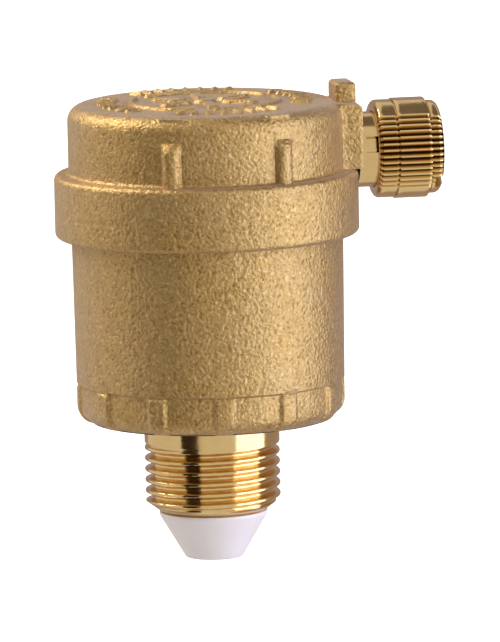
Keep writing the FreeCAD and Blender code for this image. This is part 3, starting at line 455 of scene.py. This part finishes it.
def object_from(name, bm):
    """An object with the bmesh as its mesh; the bmesh is freed."""
    mesh = bpy.data.meshes.new(name)
    bm.to_mesh(mesh)
    bm.free()
    item = bpy.data.objects.new(name, mesh)
    bpy.context.scene.collection.objects.link(item)
    return item


def finish_piece(name, bm, body, node, material):
    """Makes the piece's object, rides it on its body and hides the part it stands for."""
    piece = object_from(name, bm)
    piece.data.shade_smooth()
    piece.data.set_sharp_from_angle(angle=SHARP_ANGLE)
    piece.data.materials.append(finish(material))
    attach(piece, body)
    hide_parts(node)
    return piece


def combine(piece_bm, tool_bm, operation):
    """The first mesh joined with or cut by the second, as a new bmesh."""
    objects = [object_from("combine", bm) for bm in (piece_bm, tool_bm)]
    modifier = objects[0].modifiers.new("combine", "BOOLEAN")
    modifier.operation = operation
    modifier.solver = "EXACT"
    modifier.object = objects[1]
    evaluated = objects[0].evaluated_get(bpy.context.evaluated_depsgraph_get())
    result = bmesh.new()
    result.from_mesh(evaluated.to_mesh())
    evaluated.to_mesh_clear()
    for item in objects:
        mesh = item.data
        bpy.data.objects.remove(item)
        bpy.data.meshes.remove(mesh)
    return result


def rod(radius, start, end, height, steps=96):
    """A cylinder along X at a height."""
    bm = bmesh.new()
    place = (Matrix.Translation(((start + end) / 2, 0, height))
             @ Matrix.Rotation(math.pi / 2, 4, "Y"))
    bmesh.ops.create_cone(bm, cap_ends=True, segments=steps, radius1=radius, radius2=radius,
                          depth=end - start, matrix=place)
    return bm


def block(low, high, rounding, segments=3):
    """A box between two corners with rounded edges."""
    bm = bmesh.new()
    size = Vector(high) - Vector(low)
    place = Matrix.Translation((Vector(high) + Vector(low)) / 2) @ Matrix.Diagonal((*size, 1.0))
    bmesh.ops.create_cube(bm, size=1.0, matrix=place)
    if rounding:
        bmesh.ops.bevel(bm, geom=bm.edges[:], offset=rounding, offset_type="OFFSET",
                        affect="EDGES", segments=segments, profile=0.5, material=-1)
    return bm


def lay_along_x(bm, height):
    """Turns a piece that was made about Z so that it lies along X at a height."""
    bmesh.ops.transform(bm, verts=bm.verts[:],
                        matrix=Matrix.Translation((0, 0, height))
                        @ Matrix.Rotation(math.pi / 2, 4, "Y"))


# ---------------------------------------------------------------- pieces

def vessel_mesh(sizes):
    """The lower casting: wall with a slight draft, padded foot, hollow inside."""
    band = sizes.vessel_low
    bm = outline([
        (sizes.neck_bore, 0.0),
        (band, 0.0, sizes.foot_rounding, 12),
        (band, sizes.band_height),
        (sizes.vessel_high, COVER_LOW.z),
        (sizes.rim_radius, COVER_LOW.z),
        (sizes.rim_radius, BODY_HIGH.z, 0.3 * MM, 2),
        (sizes.vessel_bore, BODY_HIGH.z, 0.3 * MM, 2),
        (sizes.vessel_bore, sizes.vessel_floor, 1.0 * MM, 4),
        (sizes.neck_bore, sizes.vessel_floor),
    ])

    def spacing(radius, height):
        if height < sizes.band_height + 0.3 * MM and radius > sizes.vessel_bore + 0.2 * MM:
            return 0.14 * MM
        return 1.2 * MM if radius > sizes.vessel_bore + 0.2 * MM else 6.0 * MM

    subdivide_outline(bm, spacing)
    bm = turn_outline(bm, [(math.pi / 6, 60, 12)])
    pitch = 2 * math.pi / sizes.pad_count
    half = sizes.pad_width / 2
    edge = 0.28 * MM
    for vert in bm.verts:
        radius = math.hypot(vert.co.x, vert.co.y)
        if radius < sizes.vessel_bore + 0.2 * MM or vert.co.z > sizes.band_height:
            continue
        turn = (math.atan2(vert.co.y, vert.co.x) - sizes.pad_start + pitch / 2) % pitch - pitch / 2
        off_pad = smooth_step(half - edge, half + edge, abs(turn) * sizes.vessel_low)
        below_top = smooth_step(0.0, edge, sizes.band_height - vert.co.z)
        line = 1 - smooth_step(0.0, edge, abs(sizes.band_height - edge - vert.co.z))
        inward = max(sizes.band_depth * off_pad * below_top, 0.16 * MM * line)
        set_radius(vert, radius, radius - inward)
    return bm


def thread_profile(phase):
    """Height of a rounded 55 degree thread, 0 at the root and 1 at the crest."""
    t = abs((phase % 1.0) * 2 - 1)
    return 0.5 - 0.5 * math.cos(math.pi * smooth_step(0.02, 0.98, t) ** 0.9) if 0 < t < 1 else t


def thread_mesh(sizes):
    """Neck and connection thread, with a run-out under the neck and a lead-in at the end."""
    end = BODY_LOW.z
    crest = sizes.thread_radius
    bm = outline([
        (sizes.neck_bore, 0.1 * MM),
        (crest, 0.1 * MM),
        (crest, -sizes.neck_length),
        (crest, end),
        (sizes.neck_bore, end),
    ])

    def spacing(radius, height):
        if radius < sizes.neck_bore + 0.1 * MM:
            return 4.0 * MM
        if height > -sizes.neck_length + 0.2 * MM:
            return 0.6 * MM
        return 0.075 * MM if radius > crest - NEAR else 0.5 * MM

    subdivide_outline(bm, spacing)
    bm = turn_outline(bm, [(math.pi / 6, 40, 12)])
    lead_in = 1.1 * MM
    for vert in bm.verts:
        radius = math.hypot(vert.co.x, vert.co.y)
        height = vert.co.z
        if radius < sizes.neck_bore + 0.2 * MM:
            continue
        limit = crest - sizes.thread_depth - lead_in + (height - end) * 1.35
        if radius > crest - NEAR and height < -sizes.neck_length + 0.1 * MM:
            turn = math.atan2(vert.co.y, vert.co.x) / (2 * math.pi)
            depth = 1 - thread_profile(height / sizes.thread_pitch - turn)
            start = smooth_step(0.1 * MM, 0.9 * MM, -sizes.neck_length - height)
            wanted = crest - sizes.thread_depth * depth * start
        else:
            wanted = radius
        if height < end + 3.0 * MM:
            wanted = min(wanted, max(limit, sizes.neck_bore + 0.5 * MM))
        set_radius(vert, radius, wanted)
    return bm


def between(low, high, value, soft):
    """1 between two limits, 0 outside them, smooth over soft to each side of a limit."""
    return (smooth_step(low - soft, low + soft, value)
            * (1 - smooth_step(high - soft, high + soft, value)))


def bar_ring(radius, angle):
    """Four groups of short bars near the rim, from 0 to 1."""
    group, first, reach, pitch = (math.radians(a) for a in (90, 28, 66, 8.25))
    inner, outer, half, soft = (size * MM for size in (11.0, 13.2, 0.32, 0.16))
    local = (angle + first) % group
    if local >= reach or not inner - 4 * soft < radius < outer + 3 * soft:
        return 0.0
    across = (local % pitch - pitch / 2) * radius
    return between(-half, half, across, soft) * between(inner, outer, radius, soft)


def ridge_ring(radius, angle):
    """A narrow ring with three openings, from 0 to 1."""
    middle, half, soft = (size * MM for size in (9.1, 0.12, 0.16))
    spacing, turn, half_opening, edge = (math.radians(a) for a in (120, 40, 7, 1))
    ring = 1 - smooth_step(half, half + 2 * soft, abs(radius - middle))
    off = abs((angle + turn) % spacing - spacing / 2)
    return ring * smooth_step(half_opening, half_opening + edge, off)


def rosette(radius, angle):
    """Six petals round a button, from 0 to 1."""
    pitch = math.radians(60)
    narrow, widening, soft = (size * MM for size in (0.2, 0.45, 0.16))
    width = widening * smooth_step(1.6 * MM, 3.2 * MM, radius) + narrow
    across = abs(angle % pitch - pitch / 2) * radius
    petals = ((1 - smooth_step(width - soft, width + soft, across))
              * smooth_step(2.3 * MM, 2.6 * MM, radius)
              * (1 - smooth_step(6.6 * MM, 6.9 * MM, radius)))
    return max(petals, 1 - smooth_step(1.2 * MM, 1.5 * MM, radius))


def relief(sizes, radius, angle):
    """Height of the raised marks on the cover."""
    marks = (bar_ring(radius, angle), ridge_ring(radius, angle), rosette(radius, angle))
    return sizes.relief_height * max(marks)


def cover_mesh(sizes):
    """The upper casting: collar, wall with ribs, outlet boss, rounded top with raised marks."""
    bm = outline([
        (sizes.rim_radius + 0.05 * MM, COVER_LOW.z),
        (sizes.collar_radius, COVER_LOW.z, sizes.collar_rounding, 6),
        (sizes.collar_radius, sizes.collar_top, sizes.collar_rounding, 6),
        (sizes.cover_radius, sizes.collar_top, 0.45 * MM, 4),
        (sizes.cover_radius, sizes.cover_top, sizes.top_rounding, 10),
        (0.0, sizes.cover_top),
        (0.0, sizes.cover_ceiling),
        (sizes.vessel_bore, sizes.cover_ceiling, 0.8 * MM, 3),
        (sizes.vessel_bore, sizes.ledge),
        (sizes.rim_radius + 0.05 * MM, sizes.ledge),
    ])
    open_at_axis(bm)

    def spacing(radius, height):
        if height > sizes.cover_top - NEAR:
            return 0.19 * MM if radius > 1.0 * MM else 0.4 * MM
        if radius > sizes.cover_radius - NEAR and height > sizes.collar_top:
            return 0.22 * MM if height > sizes.rib_top - 1.5 * MM else 0.6 * MM
        return 1.1 * MM if radius > sizes.vessel_bore + 0.1 * MM else 5.0 * MM

    subdivide_outline(bm, spacing)
    fine = math.radians(24)
    bmesh.ops.rotate(bm, verts=bm.verts[:], matrix=Matrix.Rotation(-fine, 3, "Z"))
    bm = turn_outline(bm, [(fine / 2, 40, 4), ((math.pi - fine) / 4, 50, 8)])

    half_boss = sizes.boss_width / 2
    boss_rounding = 0.6 * MM
    rib_sink = 0.6 * MM
    rib_angles = [side * (math.pi / 2 + hand * sizes.rib_angle) for side in (-1, 1)
                  for hand in (-1, 1)]
    for vert in bm.verts:
        radius = math.hypot(vert.co.x, vert.co.y)
        angle = math.atan2(vert.co.y, vert.co.x)
        height = vert.co.z
        if height > sizes.cover_top - 0.001 * MM:
            vert.co.z += relief(sizes, radius, angle)
        elif radius > sizes.vessel_bore + 1.2 * MM and height > sizes.collar_top - NEAR:
            wanted = radius
            for rib in rib_angles:
                across = abs((angle - rib + math.pi) % (2 * math.pi) - math.pi) * radius
                side = across / (sizes.rib_width / 2)
                if side < RIB_REACH:
                    crown = math.sqrt(max(1 - side ** 2.2, 0.0))
                    ending = smooth_step(0.0, 1.0 * MM, sizes.rib_top - height)
                    wanted = max(wanted, soft_max(
                        radius, sizes.cover_radius + (crown * 1.25 - 0.25) * sizes.rib_proud
                        * ending - (1 - ending) * rib_sink, 0.18 * MM))
            if abs(angle) < math.pi / 3:
                reach = sizes.boss_face / math.cos(angle)
                if abs(angle) > 0.01:
                    flank = half_boss / abs(math.sin(angle))
                    reach = -soft_max(-reach, -flank, 0.35 * MM)
                drop = max(height - (sizes.boss_top - boss_rounding), 0.0) / boss_rounding
                if drop < 1.0:
                    reach -= (1 - math.sqrt(1 - drop * drop)) * boss_rounding
                    wanted = max(wanted, soft_max(radius, reach, 0.9 * MM))
            set_radius(vert, radius, wanted)
    lug = block((sizes.lug_inner, -sizes.lug_width / 2, sizes.cover_top - 1.2 * MM),
                (sizes.lug_outer, sizes.lug_width / 2, COVER_HIGH.z), 0.55 * MM, 4)
    bm = combine(bm, lug, "UNION")
    bm = combine(bm, rod(sizes.outlet_bore, 16.0 * MM, 21.0 * MM, VENT_HEIGHT), "DIFFERENCE")
    return combine(bm, rod(1.5 * MM, 12.0 * MM, 17.0 * MM, VENT_HEIGHT), "DIFFERENCE")


def spigot_mesh(sizes):
    """Turned spigot with the cap's thread, its passage and the air groove."""
    start, end = sizes.boss_face - 0.3 * MM, COVER_HIGH.x
    bm = outline([
        (sizes.outlet_bore, start),
        (sizes.spigot_radius, start),
        (sizes.spigot_radius, start + 1.1 * MM),
        (sizes.spigot_radius, end, 0.4 * MM, 3),
        (sizes.outlet_bore, end, 0.2 * MM, 2),
    ])

    def spacing(radius, height):
        if radius < sizes.outlet_bore + NEAR:
            return 3.0 * MM
        return 0.09 * MM if radius > sizes.spigot_radius - NEAR else 0.5 * MM

    subdivide_outline(bm, spacing)
    bm = turn_outline(bm, [(math.pi / 6, 30, 12)])
    thread_start = start + 2.6 * MM
    pitch, depth = 1.0 * MM, 0.45 * MM
    groove_start, groove_half_width, groove_depth = start + 0.8 * MM, 1.0 * MM, 0.8 * MM
    for vert in bm.verts:
        radius = math.hypot(vert.co.x, vert.co.y)
        angle = math.atan2(vert.co.y, vert.co.x)
        if radius < sizes.spigot_radius - depth:
            continue
        wanted = radius
        if thread_start < vert.co.z < end - 0.5 * MM:
            into = smooth_step(0.0, 0.6 * MM, vert.co.z - thread_start)
            below = 1 - thread_profile(vert.co.z / pitch - angle / (2 * math.pi))
            wanted -= depth * below * into
        off = abs((angle - AIR_GROOVE_ANGLE + math.pi) % (2 * math.pi) - math.pi)
        if off < math.pi / 3 and vert.co.z > groove_start:
            across = math.sin(off) * radius
            floor = (sizes.spigot_radius - groove_depth) / math.cos(off)
            if across < groove_half_width:
                wanted = min(wanted, floor)
        set_radius(vert, radius, wanted)
    lay_along_x(bm, VENT_HEIGHT)
    return bm


def cap_mesh(sizes):
    """Screw cap: three bands with ring lines, knurled front and back, a coin slot."""
    start, end = CAP_LOW.x, CAP_HIGH.x
    middle = (CAP_HIGH.z - CAP_LOW.z) / 2
    inner, outer = middle - 0.15 * MM, middle - 0.45 * MM
    first, second = start + 2.45 * MM, start + 6.45 * MM
    line, line_depth = 0.25 * MM, 0.2 * MM
    slot_half_width, slot_depth, slot_reach = 0.75 * MM, 1.0 * MM, 8 * MM
    bm = outline([
        (sizes.cap_bore, start),
        (inner, start, 0.55 * MM, 4),
        (inner, first - line),
        (inner - line_depth, first - line),
        (inner - line_depth, first),
        (middle, first, 0.1 * MM, 2),
        (middle, second, 0.1 * MM, 2),
        (outer - line_depth, second),
        (outer - line_depth, second + line),
        (outer, second + line, 0.08 * MM, 2),
        (outer, end, 0.75 * MM, 5),
        (0.0, end),
        (0.0, start + sizes.cap_depth),
        (sizes.cap_bore, start + sizes.cap_depth),
    ])
    open_at_axis(bm)
    subdivide_outline(bm, lambda radius, height:
                      0.5 * MM if radius > inner - 0.3 * MM else 1.6 * MM)
    bm = turn_outline(bm, [(math.pi / 6, 48, 12)])
    pitch = KNURL_PITCH
    for vert in bm.verts:
        radius = math.hypot(vert.co.x, vert.co.y)
        if radius < outer - 0.65 * MM or vert.co.z > end - 0.05 * MM:
            continue
        angle = math.atan2(vert.co.y, vert.co.x)
        off = abs(abs(angle) - math.pi / 2)
        if off > 6.6 * pitch:
            continue
        groove = 0.5 + 0.5 * math.cos(2 * math.pi * off / pitch)
        depth = sizes.knurl_depth * groove ** 1.3
        depth *= 1 - smooth_step(6.3 * pitch, 6.5 * pitch, off)
        depth -= max(outer - radius, 0.0) * 0.5
        if depth > 0:
            set_radius(vert, radius, radius - depth)
    slot = block((-slot_reach, -slot_half_width, end - slot_depth),
                 (slot_reach, slot_half_width, end + slot_depth), 0.0)
    bmesh.ops.rotate(slot, verts=slot.verts[:], matrix=Matrix.Rotation(COIN_SLOT_ANGLE, 3, "Z"))
    bm = combine(bm, slot, "DIFFERENCE")
    lay_along_x(bm, VENT_HEIGHT)
    return bm


def cone_mesh(sizes):
    """Moulded inlet cone with rounded edges and its sleeve in the neck."""
    neck_end = BODY_LOW.z
    sleeve_radius, sleeve_bore = 5.55 * MM, 4.6 * MM
    bm = outline([
        (sizes.cone_end - 0.5 * MM, CONE_LOW.z, 0.2 * MM, 2),
        (sizes.cone_end, CONE_LOW.z, 0.3 * MM, 4),
        (sizes.cone_top, neck_end - 0.25 * MM, 0.2 * MM, 3),
        (sizes.cone_top - 0.1 * MM, neck_end),
        (sleeve_radius, neck_end),
        (sleeve_radius, sizes.vessel_floor),
        (6.0 * MM, sizes.vessel_floor, 0.1 * MM, 2),
        (sizes.neck_bore, CONE_HIGH.z),
        (sleeve_bore, CONE_HIGH.z),
        (sleeve_bore, neck_end),
    ])
    subdivide_outline(bm, lambda radius, height: 1.0 * MM)
    return turn_outline(bm, [(math.pi / 6, 15, 12)])


CAD_FINISHES = {
    "turned_brass": ("valve_seat", "pad_holder"),
    "seal_rubber": ("cover_seal_ring", "seat_seal_ring", "valve_pad"),
    "stamped_steel": ("float_link", "lever_bracket", "bracket_screws", "lock_washers",
                      "pivot_pin", "pin_clips", "valve_lever", "lever_spring"),
    "float_plastic": ("float_shell", "float_lid"),
    "gasket_fibre": ("cap_gasket",),
}


class VENT_OT_vessel(bpy.types.Operator):
    """Builds the vessel casting with its padded foot"""
    bl_idname = "vent.vessel"
    bl_label = "Vessel casting"

    def execute(self, context):
        finish_piece("vessel_casting", vessel_mesh(context.scene.vent_sizes), "root",
                     "lower_body", "cast_brass_blasted")
        return {"FINISHED"}


class VENT_OT_thread(bpy.types.Operator):
    """Builds the machined neck and connection thread"""
    bl_idname = "vent.thread"
    bl_label = "Connection thread"

    def execute(self, context):
        finish_piece("connection_thread", thread_mesh(context.scene.vent_sizes), "root",
                     "lower_body", "turned_brass")
        return {"FINISHED"}


class VENT_OT_cover(bpy.types.Operator):
    """Builds the cover casting with collar, ribs, boss, lug and raised marks"""
    bl_idname = "vent.cover"
    bl_label = "Cover casting"

    def execute(self, context):
        finish_piece("cover_casting", cover_mesh(context.scene.vent_sizes), "root",
                     "cover", "cast_brass_blasted")
        return {"FINISHED"}


class VENT_OT_spigot(bpy.types.Operator):
    """Builds the turned outlet spigot"""
    bl_idname = "vent.spigot"
    bl_label = "Outlet spigot"

    def execute(self, context):
        finish_piece("outlet_spigot", spigot_mesh(context.scene.vent_sizes), "root",
                     "cover", "turned_brass")
        return {"FINISHED"}


class VENT_OT_cap(bpy.types.Operator):
    """Builds the knurled screw cap"""
    bl_idname = "vent.cap"
    bl_label = "Screw cap"

    def execute(self, context):
        finish_piece("screw_cap", cap_mesh(context.scene.vent_sizes), "cap",
                     "vent_cap", "knurled_brass_painted_shade")
        return {"FINISHED"}


class VENT_OT_cone(bpy.types.Operator):
    """Builds the moulded inlet cone"""
    bl_idname = "vent.cone"
    bl_label = "Inlet cone"

    def execute(self, context):
        finish_piece("moulded_cone", cone_mesh(context.scene.vent_sizes), "root",
                     "inlet_cone", "cone_plastic")
        return {"FINISHED"}


class VENT_OT_inner_parts(bpy.types.Operator):
    """Gives the parts inside the vent their finishes"""
    bl_idname = "vent.inner_parts"
    bl_label = "Inner parts"

    def execute(self, context):
        for material, names in CAD_FINISHES.items():
            for name in names:
                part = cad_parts[name]
                for index in range(len(part.material_slots)):
                    part.material_slots[index].material = finish(material)
        return {"FINISHED"}


# ---------------------------------------------------------------- stage

TARGET = Vector((4.92, -0.87, 11.98)) * MM
VIEW_AZIMUTH = math.radians(-10.0)
VIEW_ELEVATION = math.radians(8.15)
CAMERA_ROLL = math.radians(-1.25)
FLOOR_HEIGHT = -0.12


def beside_camera(angle, elevation, distance):
    """A point round the object; angle is from the camera's side, to its right."""
    turn = VIEW_AZIMUTH + angle
    return TARGET + distance * Vector((
        math.sin(turn) * math.cos(elevation), -math.cos(turn) * math.cos(elevation),
        math.sin(elevation)))


def card(name, sides, heights, distance, colour_value, strength):
    """A curved card between two angles from the camera's side and two elevations, in degrees."""
    first, last = (math.radians(side) for side in sides)
    low, high = (math.radians(height) for height in heights)
    bm = bmesh.new()
    bottom = bm.verts.new(beside_camera(first, low, distance))
    top = bm.verts.new(beside_camera(first, high, distance))
    edge = bm.edges.new((bottom, top))
    bmesh.ops.spin(bm, geom=[bottom, top, edge], cent=TARGET, axis=(0, 0, 1),
                   angle=last - first, steps=24)
    item = object_from(name, bm)
    material = bpy.data.materials.new(name)
    material.use_nodes = True
    shader = material.node_tree.nodes["Principled BSDF"]
    shader.inputs["Base Color"].default_value = (0.0, 0.0, 0.0, 1.0)
    shader.inputs["Specular IOR Level"].default_value = 0.0
    shader.inputs["Emission Color"].default_value = (*colour_value, 1.0)
    shader.inputs["Emission Strength"].default_value = strength
    item.data.materials.append(material)
    item.visible_camera = False
    item.visible_shadow = False


class VENT_OT_stage(bpy.types.Operator):
    """Sets up floor, lights, room and camera"""
    bl_idname = "vent.stage"
    bl_label = "Stage"

    def execute(self, context):
        scene = context.scene
        settings = scene.vent_stage
        scene.view_settings.view_transform = "Standard"
        self.add_floor(scene)
        self.add_room(scene, settings)
        card("soft_box_card", (41, 99), (-42, 40), 0.55, (1.0, 1.10, 1.42), settings.soft_box)
        card("dark_flag", (-54, -24), (-60, 42), 0.55, (0.03, 0.02, 0.015), 1.0)
        card("back_flag", (102, 220), (-60, 36), 0.62, (0.40, 0.32, 0.31), 1.0)
        card("top_right_flag", (60, 170), (44, 84), 0.62, (0.18, 0.15, 0.14), 1.0)
        card("left_window", (-128, -84), (28, 58), 0.6, (1.0, 0.98, 0.95), settings.top_light)
        self.add_camera(scene, settings)
        return {"FINISHED"}

    def add_floor(self, scene):
        """A wide pale floor, well below the object."""
        bm = bmesh.new()
        bmesh.ops.create_grid(bm, x_segments=1, y_segments=1, size=6.0)
        bmesh.ops.translate(bm, verts=bm.verts[:], vec=(0, 0, FLOOR_HEIGHT))
        material, tree, shader, point = new_finish("pale_floor", Roughness=0.8)
        cloud = noise(tree, point, 3.0, 2.0, 0.5)
        tint = scene.vent_colours.floor
        tree.links.new(blend_colours(tree, cloud, shade(tint), shade(tint, 0.98, 0.98, 0.98)),
                       shader.inputs["Base Color"])
        shader.inputs["Emission Color"].default_value = (1.0, 1.0, 1.0, 1.0)
        shader.inputs["Emission Strength"].default_value = 0.85
        floor = object_from("floor", bm)
        floor.data.materials.append(material)
        floor.visible_glossy = False
        floor.visible_diffuse = False

    def add_room(self, scene, settings):
        """A white room: bright to the eye, softer on the metal."""
        world = bpy.data.worlds.new("white_room")
        world.use_nodes = True
        tree = world.node_tree
        tree.nodes.clear()
        seen = add_node(tree, "ShaderNodeBackground", {"Color": (1, 1, 1, 1), "Strength": 1.0})
        felt = add_node(tree, "ShaderNodeBackground",
                        {"Color": (1.0, 0.985, 0.96, 1), "Strength": settings.surround})
        path = add_node(tree, "ShaderNodeLightPath")
        either = add_node(tree, "ShaderNodeMixShader")
        output = add_node(tree, "ShaderNodeOutputWorld")
        tree.links.new(path.outputs["Is Camera Ray"], either.inputs[0])
        tree.links.new(felt.outputs[0], either.inputs[1])
        tree.links.new(seen.outputs[0], either.inputs[2])
        tree.links.new(either.outputs[0], output.inputs["Surface"])
        scene.world = world

    def add_camera(self, scene, settings):
        """A long lens, a little left of the outlet's side and slightly above."""
        data = bpy.data.cameras.new("view_camera")
        data.lens = settings.lens
        data.sensor_width = 36.0
        data.clip_start, data.clip_end = 0.05, 50.0
        camera = bpy.data.objects.new("view_camera", data)
        scene.collection.objects.link(camera)
        camera.location = beside_camera(0.0, VIEW_ELEVATION, settings.camera_distance)
        towards = (TARGET - camera.location).to_track_quat("-Z", "Y").to_matrix().to_4x4()
        camera.matrix_world = (Matrix.Translation(camera.location) @ towards
                               @ Matrix.Rotation(CAMERA_ROLL, 4, "Z"))
        scene.camera = camera


class VENT_PT_panel(bpy.types.Panel):
    """Lists the vent's pieces, sizes and colours"""
    bl_idname = "VENT_PT_panel"
    bl_label = "Air Vent"
    bl_space_type = "VIEW_3D"
    bl_region_type = "UI"
    bl_category = "Air Vent"

    def draw(self, context):
        layout = self.layout
        for operator in OPERATORS:
            layout.operator(operator.bl_idname)
        for group in (context.scene.vent_sizes, context.scene.vent_colours,
                      context.scene.vent_stage):
            box = layout.box()
            for name in group.__annotations__:
                box.prop(group, name)


OPERATORS = (VENT_OT_vessel, VENT_OT_thread, VENT_OT_cover, VENT_OT_spigot, VENT_OT_cap,
             VENT_OT_cone, VENT_OT_inner_parts, VENT_OT_stage)
GROUPS = {"vent_sizes": VentSizes, "vent_colours": VentColours, "vent_stage": VentStage}


def register():
    """Registers the settings, operators and panel."""
    for name, group in GROUPS.items():
        bpy.utils.register_class(group)
        setattr(bpy.types.Scene, name, PointerProperty(type=group))
    for item in OPERATORS + (VENT_PT_panel,):
        bpy.utils.register_class(item)


def unregister():
    """Removes what register added."""
    for item in (VENT_PT_panel,) + OPERATORS[::-1]:
        bpy.utils.unregister_class(item)
    for name, group in GROUPS.items():
        delattr(bpy.types.Scene, name)
        bpy.utils.unregister_class(group)


def main():
    register()
    for operator in OPERATORS:
        getattr(bpy.ops.vent, operator.bl_idname.split(".")[1])()


if __name__ == "__main__":
    main()
